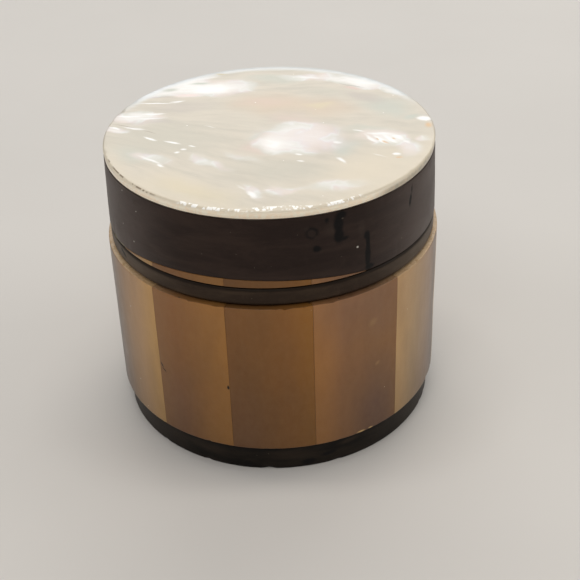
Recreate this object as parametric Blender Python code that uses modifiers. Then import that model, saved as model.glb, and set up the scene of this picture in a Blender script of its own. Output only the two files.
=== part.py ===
"""Round lidded box clad in mother-of-pearl staves, with a rosin cake poured into its cup.

Frame: metres, +Z up. The origin is the centre of the flat underside and Z is the turning axis.
The front faces -Y. Angles round the box are measured from the front, positive towards +X.
The box stands still; everything on the lid hangs from the empty lid_lift, which slides along +Z.
"""
import math

import bmesh
import bpy
from mathutils import Vector

MM = 0.001

# Driving dimensions
SHELL_RADIUS = 22.5 * MM
TOTAL_HEIGHT = 39.6 * MM
SHELL_THICKNESS = 1.2 * MM
STAVE_BOTTOM = 4.1 * MM
STAVE_TOP = 26.4 * MM
LID_BOTTOM = 29.2 * MM
LID_TOP_RADIUS = 21.8 * MM
LID_RIM_RADIUS = 22.05 * MM
NECK_RADIUS = 22.0 * MM
FOOT_RADIUS = 21.8 * MM
SPIGOT_RADIUS = 19.6 * MM
SPIGOT_TOP = 32.1 * MM
CUP_RADIUS = 18.0 * MM
CUP_FLOOR = 12.0 * MM
CAKE_TOP = 32.5 * MM
PLATE_THICKNESS = 0.9 * MM
LID_ROOF_THICKNESS = 1.4 * MM

# Clearances
SEAT_GAP = 0.2 * MM
GLUE_GAP = 0.3 * MM
STAVE_GAP = 0.1 * MM
LID_CLEARANCE = 0.3 * MM

# Small chamfers that break the turned edges
CHAMFER = 0.25 * MM
PLATE_BEVEL = 0.35 * MM
CAKE_BEVEL = 0.9 * MM

# Widths of the shell staves in degrees, going round from the one left of the front
STAVE_WIDTHS = (33.0, 27.4, 28.1, 32.0, 32.5, 29.0, 30.5, 28.8, 30.2, 29.3, 30.0, 29.2)
FIRST_STAVE_START = -76.2

# The parting cut was made askew, so a crescent of the cladding stays on the lid's rim
SLIVER_HEIGHT = 1.1 * MM
SLIVER_MIDDLE = -14.0
SLIVER_HALF_SPAN = 46.0
SLIVER_THICKNESS = 1.0 * MM
# The crescent's points are cut off here, where the shell would be too thin to stay on
SLIVER_TIP_TRIM = 3.0

SEGMENTS = 72
MERGE_DISTANCE = 0.00001

HORN = (0.030, 0.024, 0.021)
FOOT_HORN = (0.020, 0.017, 0.015)
NECK_HORN = (0.042, 0.035, 0.027)
CORE_WOOD = (0.075, 0.040, 0.022)
ROSIN = (0.340, 0.105, 0.012)
PLATE_SHELL = (0.720, 0.650, 0.540)
STAVE_SHELLS = ((0.290, 0.230, 0.170), (0.195, 0.115, 0.055), (0.135, 0.080, 0.042), (0.200, 0.125, 0.080))


def clear_scene():
    for old in list(bpy.data.objects):
        bpy.data.objects.remove(old, do_unlink=True)


def make_collection(name):
    collection = bpy.data.collections.new(name)
    bpy.context.scene.collection.children.link(collection)
    return collection


def make_material(name, colour, roughness, metallic=0.0):
    material = bpy.data.materials.new(name)
    material.use_nodes = True
    shader = material.node_tree.nodes["Principled BSDF"]
    shader.inputs["Base Color"].default_value = (*colour, 1.0)
    shader.inputs["Roughness"].default_value = roughness
    shader.inputs["Metallic"].default_value = metallic
    return material


def add_object(name, data, collection, material=None, parent=None, z=0.0):
    """Link an object at world height z, with an optional parent on the same axis."""
    thing = bpy.data.objects.new(name, data)
    collection.objects.link(thing)
    if material:
        data.materials.append(material)
    thing.parent = parent
    thing.location.z = z - (parent.location.z if parent else 0.0)
    return thing


def turned(name, profile, collection, material, closed=False, parent=None, z=0.0):
    """Turn a profile of (radius, height) points, which runs down its outer side."""
    points = [(radius, 0.0, height) for radius, height in profile]
    edges = [(i, i + 1) for i in range(len(points) - 1)]
    if closed:
        edges.append((len(points) - 1, 0))
    mesh = bpy.data.meshes.new(name)
    mesh.from_pydata(points, edges, [])
    thing = add_object(name, mesh, collection, material, parent, z)
    screw = thing.modifiers.new("turn", "SCREW")
    screw.axis = "Z"
    screw.angle = math.tau
    screw.steps = SEGMENTS
    screw.render_steps = SEGMENTS
    screw.use_merge_vertices = True
    screw.merge_threshold = MERGE_DISTANCE
    screw.use_smooth_shade = False
    return thing


def point_round(radius, angle):
    """Point at an angle in degrees from the front."""
    turn = math.radians(angle)
    return Vector((radius * math.sin(turn), -radius * math.cos(turn), 0.0))


def arc(radius, start, end):
    """Points from start to end, with those between on the facets of the turned pieces."""
    step = 360.0 / SEGMENTS
    first = math.floor(start / step) + 1
    last = math.ceil(end / step) - 1
    angles = [start] + [step * i for i in range(first, last + 1)] + [end]
    return [point_round(radius, angle) for angle in angles]


def sector(name, inner, outer, start, end, height, collection, material=None, parent=None, z=0.0):
    """A stretch of a tube: a flat outline of two arcs, extruded upwards from z."""
    gap_in = math.degrees(STAVE_GAP / 2 / inner)
    gap_out = math.degrees(STAVE_GAP / 2 / outer)
    outline = arc(outer, start + gap_out, end - gap_out)
    outline += reversed(arc(inner, start + gap_in, end - gap_in))
    curve = bpy.data.curves.new(name, "CURVE")
    curve.dimensions = "2D"
    curve.fill_mode = "BOTH"
    curve.extrude = height / 2
    spline = curve.splines.new("POLY")
    spline.points.add(len(outline) - 1)
    for spline_point, place in zip(spline.points, outline):
        spline_point.co = (*place, 1.0)
    spline.use_cyclic_u = True
    return add_object(name, curve, collection, material, parent, z + height / 2)


def curve_to_mesh(thing):
    """Replace a curve object by a welded mesh, so that it can be cut."""
    bpy.context.view_layer.update()
    evaluated = thing.evaluated_get(bpy.context.evaluated_depsgraph_get())
    mesh = bpy.data.meshes.new_from_object(evaluated)
    welded = bmesh.new()
    welded.from_mesh(mesh)
    bmesh.ops.remove_doubles(welded, verts=welded.verts, dist=MERGE_DISTANCE)
    welded.to_mesh(mesh)
    welded.free()
    name = thing.name
    collection = thing.users_collection[0]
    parent = thing.parent
    place = thing.location.copy()
    curve = thing.data
    bpy.data.objects.remove(thing, do_unlink=True)
    bpy.data.curves.remove(curve)
    solid = bpy.data.objects.new(name, mesh)
    collection.objects.link(solid)
    solid.parent = parent
    solid.location = place
    return solid


def boolean(thing, cutter, operation):
    cut = thing.modifiers.new(operation.lower(), "BOOLEAN")
    cut.operation = operation
    cut.solver = "EXACT"
    cut.object = cutter


def hide_cutter(cutter):
    cutter.hide_render = True
    cutter.display_type = "WIRE"


def parting_plane(name, lift, cutters):
    """A block under the skew plane that bounds the crescent of shell on the lid.

    The plane stands SLIVER_HEIGHT above the lid's rim at SLIVER_MIDDLE, and meets the rim
    SLIVER_HALF_SPAN degrees to either side of it.
    """
    drop = 1.0 - math.cos(math.radians(SLIVER_HALF_SPAN))
    slope = SLIVER_HEIGHT / (LID_RIM_RADIUS * drop)
    half_size = 2 * LID_RIM_RADIUS
    bpy.ops.mesh.primitive_cube_add(size=2 * half_size)
    block = bpy.context.object
    block.name = name
    for old in list(block.users_collection):
        old.objects.unlink(block)
    cutters.objects.link(block)
    towards = point_round(1.0, SLIVER_MIDDLE)
    normal = (Vector((0.0, 0.0, 1.0)) - slope * towards).normalized()
    on_plane = point_round(LID_RIM_RADIUS, SLIVER_MIDDLE)
    on_plane.z = LID_BOTTOM + SLIVER_HEIGHT + lift
    block.rotation_mode = "QUATERNION"
    block.rotation_quaternion = normal.to_track_quat("Z", "Y")
    block.location = on_plane - normal * half_size
    hide_cutter(block)
    return block


def stave_edges():
    """Start and end angle of each stave."""
    edges = []
    start = FIRST_STAVE_START
    for width in STAVE_WIDTHS:
        edges.append((start, start + width))
        start += width
    return edges


def build_foot(parts):
    top = STAVE_BOTTOM - SEAT_GAP
    profile = (
        (0.0, top),
        (FOOT_RADIUS - CHAMFER, top),
        (FOOT_RADIUS, top - CHAMFER),
        (FOOT_RADIUS, CHAMFER),
        (FOOT_RADIUS - CHAMFER, 0.0),
        (0.0, 0.0),
    )
    turned("foot_disc", profile, parts, make_material("foot_horn", FOOT_HORN, 0.4))


def build_core(parts):
    """The turned cup that carries the shell outside and the rosin inside."""
    core_radius = SHELL_RADIUS - SHELL_THICKNESS - GLUE_GAP
    height = SPIGOT_TOP - STAVE_BOTTOM
    floor = CUP_FLOOR - STAVE_BOTTOM
    shoulder = STAVE_TOP - STAVE_BOTTOM
    profile = (
        (0.0, floor),
        (CUP_RADIUS, floor),
        (CUP_RADIUS, height),
        (SPIGOT_RADIUS - CHAMFER, height),
        (SPIGOT_RADIUS, height - CHAMFER),
        (SPIGOT_RADIUS, shoulder),
        (core_radius, shoulder),
        (core_radius, 0.0),
        (0.0, 0.0),
    )
    turned("body_core", profile, parts, make_material("core_wood", CORE_WOOD, 0.5), z=STAVE_BOTTOM)


def build_neck(parts):
    """The dark ring that caps the staves and carries the closed lid."""
    bottom = STAVE_TOP + SEAT_GAP
    height = LID_BOTTOM - SEAT_GAP - bottom
    inner = SPIGOT_RADIUS + SEAT_GAP
    profile = (
        (inner, height),
        (NECK_RADIUS - CHAMFER, height),
        (NECK_RADIUS, height - CHAMFER),
        (NECK_RADIUS, 0.0),
        (inner, 0.0),
    )
    turned("neck_ring", profile, parts, make_material("neck_horn", NECK_HORN, 0.45), closed=True, z=bottom)


def build_staves(parts):
    inner = SHELL_RADIUS - SHELL_THICKNESS
    height = STAVE_TOP - STAVE_BOTTOM
    for index, (start, end) in enumerate(stave_edges()):
        name = f"shell_stave_{index + 1:02d}"
        shell = make_material(name, STAVE_SHELLS[index % len(STAVE_SHELLS)], 0.3)
        sector(name, inner, SHELL_RADIUS, start, end, height, parts, shell, z=STAVE_BOTTOM)


def build_cake(parts):
    """The rosin fills the cup and stands a little proud of its rim."""
    radius = CUP_RADIUS - GLUE_GAP
    bottom = CUP_FLOOR + GLUE_GAP
    height = CAKE_TOP - bottom
    profile = (
        (0.0, height),
        (radius - CAKE_BEVEL, height - 0.1 * CAKE_BEVEL),
        (radius - 0.3 * CAKE_BEVEL, height - 0.3 * CAKE_BEVEL),
        (radius, height - CAKE_BEVEL),
        (radius, 0.0),
        (0.0, 0.0),
    )
    turned("rosin_cake", profile, parts, make_material("rosin", ROSIN, 0.2), z=bottom)


def build_lid_body(parts, cutters, lid_lift):
    """The deep turned cap: an upright rim, rebated for the crescent of shell, then a taper."""
    height = TOTAL_HEIGHT - PLATE_THICKNESS - SEAT_GAP - LID_BOTTOM
    roof = height - LID_ROOF_THICKNESS
    inner = SPIGOT_RADIUS + LID_CLEARANCE
    profile = (
        (0.0, height),
        (LID_TOP_RADIUS, height),
        (LID_RIM_RADIUS, SLIVER_HEIGHT + SEAT_GAP),
        (LID_RIM_RADIUS, 0.0),
        (inner, 0.0),
        (inner, roof),
        (0.0, roof),
    )
    horn = make_material("lid_horn", HORN, 0.35)
    lid_body = turned("lid_body", profile, parts, horn, parent=lid_lift, z=LID_BOTTOM)

    start = SLIVER_MIDDLE - SLIVER_HALF_SPAN
    end = SLIVER_MIDDLE + SLIVER_HALF_SPAN
    margin = 1.0 * MM
    rebate = sector(
        "rebate_cutter",
        LID_RIM_RADIUS - SLIVER_THICKNESS - SEAT_GAP,
        LID_RIM_RADIUS + margin,
        start,
        end,
        2 * SLIVER_HEIGHT + margin,
        cutters,
        z=LID_BOTTOM - margin,
    )
    rebate = curve_to_mesh(rebate)
    hide_cutter(rebate)
    boolean(rebate, parting_plane("rebate_plane", SEAT_GAP, cutters), "INTERSECT")
    boolean(lid_body, rebate, "DIFFERENCE")


def build_lid_slivers(parts, cutters, lid_lift):
    """Each sliver is the stretch of the crescent above one stave."""
    start = SLIVER_MIDDLE - SLIVER_HALF_SPAN + SLIVER_TIP_TRIM
    end = SLIVER_MIDDLE + SLIVER_HALF_SPAN - SLIVER_TIP_TRIM
    plane = parting_plane("parting_plane", 0.0, cutters)
    for index, (stave_start, stave_end) in enumerate(stave_edges()):
        low = max(start, stave_start)
        high = min(end, stave_end)
        if low >= high:
            continue
        sliver = sector(
            f"lid_sliver_{index + 1:02d}",
            LID_RIM_RADIUS - SLIVER_THICKNESS,
            LID_RIM_RADIUS,
            low,
            high,
            2 * SLIVER_HEIGHT,
            parts,
            parent=lid_lift,
            z=LID_BOTTOM,
        )
        sliver = curve_to_mesh(sliver)
        shell = make_material(sliver.name, STAVE_SHELLS[index % len(STAVE_SHELLS)], 0.3)
        sliver.data.materials.append(shell)
        boolean(sliver, plane, "INTERSECT")


def build_lid_plate(parts, lid_lift):
    """The round pearl plate on top of the lid."""
    profile = (
        (0.0, PLATE_THICKNESS),
        (LID_TOP_RADIUS - PLATE_BEVEL, PLATE_THICKNESS),
        (LID_TOP_RADIUS, PLATE_THICKNESS - PLATE_BEVEL),
        (LID_TOP_RADIUS, 0.0),
        (0.0, 0.0),
    )
    shell = make_material("plate_shell", PLATE_SHELL, 0.2)
    turned("lid_plate", profile, parts, shell, parent=lid_lift, z=TOTAL_HEIGHT - PLATE_THICKNESS)


def build():
    clear_scene()
    parts = make_collection("pearl_rosin_box")
    cutters = make_collection("cutters")
    lid_lift = bpy.data.objects.new("lid_lift", None)
    lid_lift.location.z = LID_BOTTOM
    parts.objects.link(lid_lift)

    build_foot(parts)
    build_core(parts)
    build_staves(parts)
    build_neck(parts)
    build_cake(parts)
    build_lid_body(parts, cutters, lid_lift)
    build_lid_slivers(parts, cutters, lid_lift)
    build_lid_plate(parts, lid_lift)


build()
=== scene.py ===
"""Looks of the pearl-clad rosin box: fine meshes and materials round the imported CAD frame.

Lengths are metres, as in the frame. Angles round the box are in degrees from the front (-Y),
positive towards +X. Every size is read from the frame or worked out from it.
"""

import math
import random

import bmesh
import bpy
import numpy as np
from mathutils import Matrix, Vector, noise


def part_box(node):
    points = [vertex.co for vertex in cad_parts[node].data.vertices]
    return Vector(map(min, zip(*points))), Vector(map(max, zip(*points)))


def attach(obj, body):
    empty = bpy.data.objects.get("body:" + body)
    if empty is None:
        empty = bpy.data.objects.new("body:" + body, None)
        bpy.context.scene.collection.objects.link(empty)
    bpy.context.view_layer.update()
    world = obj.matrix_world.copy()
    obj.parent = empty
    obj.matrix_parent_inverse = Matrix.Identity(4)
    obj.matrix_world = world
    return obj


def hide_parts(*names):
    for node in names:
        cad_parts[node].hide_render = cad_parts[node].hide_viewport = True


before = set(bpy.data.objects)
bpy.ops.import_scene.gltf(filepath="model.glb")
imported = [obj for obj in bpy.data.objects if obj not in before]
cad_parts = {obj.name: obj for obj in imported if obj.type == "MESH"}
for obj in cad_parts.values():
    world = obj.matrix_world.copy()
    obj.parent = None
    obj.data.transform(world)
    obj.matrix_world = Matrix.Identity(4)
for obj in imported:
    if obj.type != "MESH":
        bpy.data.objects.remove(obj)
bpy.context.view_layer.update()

MM = 0.001
TURN_SEGMENTS = 240
SHARP_ANGLE = 50.0

# An edge is at least this many times as long as what a rounded corner takes from it
EDGE_TO_ARC = 2.2


# ---------------------------------------------------------------- sizes read from the frame

def top_of(node):
    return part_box(node)[1].z


def bottom_of(node):
    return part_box(node)[0].z


def span_of(node):
    return bottom_of(node), top_of(node)


def corners_of(node):
    return [vertex.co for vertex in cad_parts[node].data.vertices]


def radii_of(node, above=0.0):
    """Distances from the axis of a node's corners that lie above a height."""
    return [math.hypot(point.x, point.y) for point in corners_of(node) if point.z >= above]


def heights_at(node, radius):
    """Heights of a turned node's corners at a distance from the axis, from the lowest up."""
    near = 0.05 * MM
    return sorted(p.z for p in corners_of(node) if abs(math.hypot(p.x, p.y) - radius) < near)


STAVES = sorted(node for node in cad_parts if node.startswith("shell_stave_"))
SLIVERS = sorted(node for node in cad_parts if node.startswith("lid_sliver_"))

SHELL_RADIUS = max(radii_of(STAVES[0]))
STAVE_INNER = min(radii_of(STAVES[0]))
STAVE_TOP = top_of(STAVES[0])
PLATE_RADIUS = max(radii_of("lid_plate"))
PLATE_THICKNESS = top_of("lid_plate") - bottom_of("lid_plate")
SLIVER_INNER = min(radii_of(SLIVERS[0]))
NECK_INNER = min(radii_of("neck_ring"))
SPIGOT_RADIUS = max(radii_of("body_core", above=top_of("neck_ring")))
CUP_RADIUS = min(radii_of("body_core", above=top_of("neck_ring")))
LID_RIM_RADIUS = max(radii_of("lid_body"))
LID_BOTTOM = bottom_of("lid_body")
LID_RIM_TOP = heights_at("lid_body", LID_RIM_RADIUS)[-1]
LID_TOP = top_of("lid_body")
LID_TOP_RADIUS = max(radii_of("lid_body", above=LID_TOP - 0.1 * MM))
LID_BORE = min(radius for radius in radii_of("lid_body") if radius > SPIGOT_RADIUS)
LID_CEILING = heights_at("lid_body", LID_BORE)[-1]
CUP_FLOOR = heights_at("body_core", CUP_RADIUS)[0]
SEAT_GAP = bottom_of("neck_ring") - STAVE_TOP


def heading(point):
    """Angle of a point from the front, in degrees."""
    return math.degrees(math.atan2(point.x, -point.y))


def angles_of(node):
    """Start and end angle of a node that is a stretch of a tube."""
    points = corners_of(node)
    middle = heading(sum(points, Vector()) / len(points))
    offsets = [(heading(point) - middle + 180.0) % 360.0 - 180.0 for point in points]
    return middle + min(offsets), middle + max(offsets)


# ---------------------------------------------------------------- mesh helpers

def point_at(radius, angle, height):
    turn = math.radians(angle)
    return Vector((radius * math.sin(turn), -radius * math.cos(turn), height))


def corner_arc(before, corner, after, radius, steps):
    """A small arc in place of a corner."""
    here = Vector(corner)
    back = Vector(before) - here
    ahead = Vector(after) - here
    reach = min(radius, back.length / EDGE_TO_ARC, ahead.length / EDGE_TO_ARC)
    start = here + back.normalized() * reach
    end = here + ahead.normalized() * reach
    shares = [step / steps for step in range(steps + 1)]
    return [start.lerp(here, share).lerp(here.lerp(end, share), share) for share in shares]


def cut_up(here, there, spacing):
    """Points from here to just before there, no further apart than spacing."""
    pieces = max(1, math.ceil((there - here).length / spacing))
    return [here.lerp(there, step / pieces) for step in range(pieces)]


def closed_outline(corners, radius, spacing=None):
    """A closed (radius, height) outline with rounded corners and no edge longer than spacing."""
    points = []
    for before, corner, after in zip(corners[-1:] + corners[:-1], corners, corners[1:] + corners[:1]):
        points += corner_arc(before, corner, after, radius, steps=4)
    if spacing is None:
        return points
    return [p for pair in zip(points, points[1:] + points[:1]) for p in cut_up(*pair, spacing)]


def open_outline(corners, radius, spacing=None, steps=4):
    """The same from axis to axis: the first and last corners lie on the axis and stay sharp."""
    points = [Vector(corners[0])]
    for before, corner, after in zip(corners, corners[1:], corners[2:]):
        points += corner_arc(before, corner, after, radius, steps)
    points.append(Vector(corners[-1]))
    if spacing is None:
        return points
    return [p for pair in zip(points, points[1:]) for p in cut_up(*pair, spacing)] + points[-1:]


def worn(outline, move):
    """An outline for each angle, its points shifted by what move(place, across, height) gives."""
    def outline_at(angle):
        points = []
        for point in outline:
            out, up = move(point_at(point.x, angle, point.y), point.x, point.y)
            points.append(Vector((point.x + out, point.y + up)))
        return points

    return outline_at


def finish_mesh(name, mesh_data, material, body, nodes):
    """Turn a bmesh into a smooth piece that stands for CAD nodes and rides on a body."""
    bmesh.ops.recalc_face_normals(mesh_data, faces=mesh_data.faces)
    mesh = bpy.data.meshes.new(name)
    mesh_data.to_mesh(mesh)
    mesh_data.free()
    mesh.materials.append(material)
    mesh.shade_smooth()
    mesh.set_sharp_from_angle(angle=math.radians(SHARP_ANGLE))
    piece = bpy.data.objects.new(name, mesh)
    bpy.context.scene.collection.objects.link(piece)
    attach(piece, body)
    if nodes:
        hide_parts(*nodes)
    return piece


def add_ring(solid, outline, angle):
    """Vertices for an outline that is turned to an angle."""
    return [solid.verts.new(point_at(p.x, angle, p.y)) for p in outline]


def swept(outline_at, angles, end_inset=0.0):
    """Sweep a closed outline, which outline_at(angle) gives, round Z.

    Without end_inset the sweep closes on itself. With it the ends are capped, and the first
    and last rings are drawn in by end_inset so that the end edges are broken.
    """
    solid = bmesh.new()
    rings = [add_ring(solid, outline_at(angle), angle) for angle in angles]
    closed = end_inset == 0.0
    count = len(rings[0])
    for index in range(len(rings) if closed else len(rings) - 1):
        ring = rings[index]
        following = rings[(index + 1) % len(rings)]
        for k in range(count):
            solid.faces.new((ring[k], ring[(k + 1) % count], following[(k + 1) % count], following[k]))
    if not closed:
        for ring in (rings[0], rings[-1]):
            middle = sum((vertex.co for vertex in ring), Vector()) / count
            for vertex in ring:
                inwards = middle - vertex.co
                vertex.co += inwards.normalized() * min(end_inset, inwards.length / 3)
        solid.faces.new(rings[0])
        solid.faces.new(reversed(rings[-1]))
    return solid


def turned_ring(outline_at):
    """A full turn of a closed outline that stays clear of the axis."""
    return swept(outline_at, [360.0 * step / TURN_SEGMENTS for step in range(TURN_SEGMENTS)])


def turned_solid(outline_at, segments=TURN_SEGMENTS):
    """A full turn of an outline from axis to axis, with a single vertex at each pole."""
    solid = bmesh.new()
    ends = outline_at(0.0)
    poles = [solid.verts.new((0.0, 0.0, end.y)) for end in (ends[0], ends[-1])]
    angles = [360.0 * step / segments for step in range(segments)]
    rings = [add_ring(solid, outline_at(angle)[1:-1], angle) for angle in angles]
    for index, ring in enumerate(rings):
        following = rings[(index + 1) % segments]
        solid.faces.new((poles[0], ring[0], following[0]))
        for k in range(len(ring) - 1):
            solid.faces.new((ring[k], ring[k + 1], following[k + 1], following[k]))
        solid.faces.new((poles[1], following[-1], ring[-1]))
    return solid


# ---------------------------------------------------------------- shader helpers

class Graph:
    """Short ways to add and join the nodes of one material."""

    def __init__(self, name):
        self.material = bpy.data.materials.new(name)
        self.material.use_nodes = True
        self.nodes = self.material.node_tree.nodes
        self.links = self.material.node_tree.links
        self.shader = self.nodes["Principled BSDF"]

    def put(self, socket, value):
        """Link a socket to an output, or set its value."""
        if isinstance(value, bpy.types.NodeSocket):
            self.links.new(value, socket)
        elif socket.type == "RGBA" and len(value) == 3:
            socket.default_value = (*value, 1.0)
        else:
            socket.default_value = value

    def set(self, **values):
        """Set or link the shader's inputs."""
        for name, value in values.items():
            self.put(self.shader.inputs[name.replace("_", " ")], value)

    def node(self, kind, **values):
        """Add a node and fill the named inputs."""
        node = self.nodes.new("ShaderNode" + kind)
        for name, value in values.items():
            self.put(node.inputs[name.replace("_", " ")], value)
        return node

    def place(self):
        """The place in the frame, in millimetres."""
        return self.scaled(self.node("TexCoord").outputs["Object"], 1000.0, 1000.0, 1000.0)

    def attribute(self, name):
        node = self.node("Attribute")
        node.attribute_name = name
        return node.outputs["Vector"]

    def facing_up(self, low, high):
        """1 where the surface faces up, 0 where it stands upright."""
        return self.fade(self.parts(self.node("NewGeometry").outputs["Normal"])[2], low, high)

    def parts(self, vector):
        node = self.node("SeparateXYZ", Vector=vector)
        return node.outputs["X"], node.outputs["Y"], node.outputs["Z"]

    def joined(self, x, y, z=0.0):
        return self.node("CombineXYZ", X=x, Y=y, Z=z).outputs[0]

    def math(self, operation, *values):
        node = self.node("Math")
        node.operation = operation
        for socket, value in zip(node.inputs, values):
            self.put(socket, value)
        return node.outputs[0]

    def times(self, first, *others):
        for other in others:
            first = self.math("MULTIPLY", first, other)
        return first

    def plus(self, first, second):
        return self.math("ADD", first, second)

    def minus(self, first, second):
        return self.math("SUBTRACT", first, second)

    def vector_math(self, operation, *values):
        node = self.node("VectorMath")
        node.operation = operation
        for socket, value in zip(node.inputs, values):
            self.put(socket, value)
        return node.outputs["Value" if operation in ("LENGTH", "DOT_PRODUCT") else "Vector"]

    def scaled(self, vector, x, y, z):
        return self.vector_math("MULTIPLY", vector, (x, y, z))

    def flat(self, place):
        """The place with its height taken out."""
        return self.scaled(place, 1.0, 1.0, 0.0)

    def length(self, vector):
        return self.vector_math("LENGTH", vector)

    def noise(self, vector, scale, detail=3.0, rough=0.5, distortion=0.0):
        """Smooth noise from 0 to 1 with so many lumps to a millimetre."""
        node = self.node("TexNoise", Vector=vector, Scale=scale, Detail=detail)
        self.put(node.inputs["Roughness"], rough)
        self.put(node.inputs["Distortion"], distortion)
        return node.outputs["Fac"]

    def grain(self, vector, scales, *settings):
        """Noise with a scale of its own along each axis."""
        return self.noise(self.scaled(vector, *scales), 1.0, *settings)

    def cells(self, vector, scale):
        """Distance to the nearest cell centre, and a random number for the cell."""
        node = self.node("TexVoronoi", Vector=vector, Scale=scale)
        return node.outputs["Distance"], self.parts(node.outputs["Color"])[0]

    def fade(self, value, low, high):
        """0 below low and 1 above high, or the other way round if high is the smaller."""
        node = self.node("MapRange", Value=value, From_Min=min(low, high), From_Max=max(low, high))
        node.interpolation_type = "SMOOTHSTEP"
        node.clamp = False
        backwards = high < low
        self.put(node.inputs["To Min"], 1.0 if backwards else 0.0)
        self.put(node.inputs["To Max"], 0.0 if backwards else 1.0)
        return node.outputs["Result"]

    def band(self, value, start, full, wane, end):
        """1 from full to wane, fading to 0 at start and at end."""
        return self.times(self.fade(value, start, full), self.fade(value, end, wane))

    def range(self, value, low, high):
        """Spread a value from 0..1 to low..high."""
        node = self.node("MapRange", Value=value, To_Min=low, To_Max=high)
        node.clamp = False
        return node.outputs["Result"]

    def ramp(self, value, stops):
        """stops are (position, colour) pairs."""
        node = self.node("ValToRGB", Fac=value)
        elements = node.color_ramp.elements
        while len(elements) > 1:
            elements.remove(elements[-1])
        for index, (position, colour) in enumerate(stops):
            element = elements[0] if index == 0 else elements.new(position)
            element.position = position
            element.color = (*colour, 1.0)
        return node.outputs["Color"]

    def mix(self, factor, first, second):
        """The first colour at factor 0 and the second at 1."""
        node = self.node("Mix")
        node.data_type = "RGBA"
        for index, value in ((0, factor), (6, first), (7, second)):
            self.put(node.inputs[index], value)
        return node.outputs[2]

    def surface(self, colour, rough, relief, strength, depth):
        """Set the colour, the roughness and the relief, where a relief of 1 stands for depth."""
        bump = self.node("Bump", Height=relief, Strength=strength, Distance=depth)
        self.set(Base_Color=colour, Roughness=rough, Normal=bump.outputs["Normal"])


def channel_to_linear(channel):
    return channel / 12.92 if channel <= 0.04045 else ((channel + 0.055) / 1.055) ** 2.4


def lit(red, green, blue):
    """A display colour of 0 to 255 as the linear colour that shaders use."""
    return tuple(channel_to_linear(channel / 255) for channel in (red, green, blue))


def add_specks(g, colour, vector, scale, share, size, speck):
    """Scatter fine dots over a colour: a share of the cells hold one each."""
    distance, chance = g.cells(vector, scale)
    near = g.fade(distance, size, size * 0.6)
    chosen = g.fade(chance, 1.0 - share, 1.0 - share + 0.01)
    return g.mix(g.times(near, chosen), colour, speck)


# ---------------------------------------------------------------- materials

BLACK = (0.0, 0.0, 0.0)

# Colours in the pearl plate
WHITE = (0.93, 0.93, 0.92)
BLUE = lit(222, 229, 232)
PINK = lit(212, 187, 174)
PEACH = lit(207, 185, 158)
LILAC = lit(208, 190, 196)
GREEN = lit(186, 191, 178)
SAGE = lit(189, 185, 168)
CREAM = lit(214, 202, 178)
YELLOW = lit(212, 198, 160)
SHADE = lit(172, 162, 156)
AMBER = lit(214, 178, 128)
HAIRLINE = lit(150, 132, 108)

# Broad soft tints in the plate: place, half length and half width in mm, tilt in degrees, tint, strength
PLATE_TINTS = (
    (-14, -1, 11, 8, -15, SAGE, 0.7),
    (-18, -5, 5, 3.6, -40, GREEN, 0.5),
    (12, -12, 13, 6.5, 35, CREAM, 0.9),
    (0.3, 8.6, 9, 5.4, -6, PEACH, 0.9),
    (-0.5, 9.2, 5.5, 3, -4, PINK, 0.4),
    (7.5, 6.6, 6.5, 4.2, -20, PEACH, 0.7),
    (6.9, 7.2, 2.6, 1.4, -10, YELLOW, 0.7),
    (3, 3.6, 5, 2.6, -12, PINK, 0.5),
    (0.6, 17, 6, 2.6, -4, GREEN, 0.7),
    (8, 12.2, 6, 2.2, -18, SAGE, 0.6),
    (16, 6.4, 5.5, 4.2, -35, GREEN, 0.8),
    (13.4, 10.2, 5, 2.4, -35, SHADE, 0.5),
    (-12, 8.2, 6, 2.6, 2, SHADE, 0.35),
    (-15.2, 11.7, 3.4, 0.8, -8, SHADE, 0.8),
    (-15.5, 4.2, 5, 0.9, -10, SHADE, 0.45),
    (1, -10.5, 10, 4.6, -12, SAGE, 0.6),
    (9.8, -5.6, 2.4, 3.2, -20, GREEN, 0.9),
    (-11, -14.5, 9.5, 4.2, -36, CREAM, 0.8),
    (-9.5, -16.5, 9, 3.4, -30, YELLOW, 0.5),
    (-0.9, -1.6, 2.2, 1.8, 30, GREEN, 0.8),
    (6, -2.4, 7, 5.4, -15, LILAC, 0.55),
    (-1.4, -4.6, 3.4, 2.6, 0, PINK, 0.6),
    (13, -0.6, 4.5, 1.6, -10, GREEN, 0.5),
    (18.6, -6.2, 2.4, 2.8, 10, BLUE, 0.6),
    (19, 3.6, 2, 0.9, 25, GREEN, 0.9),
)

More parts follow.
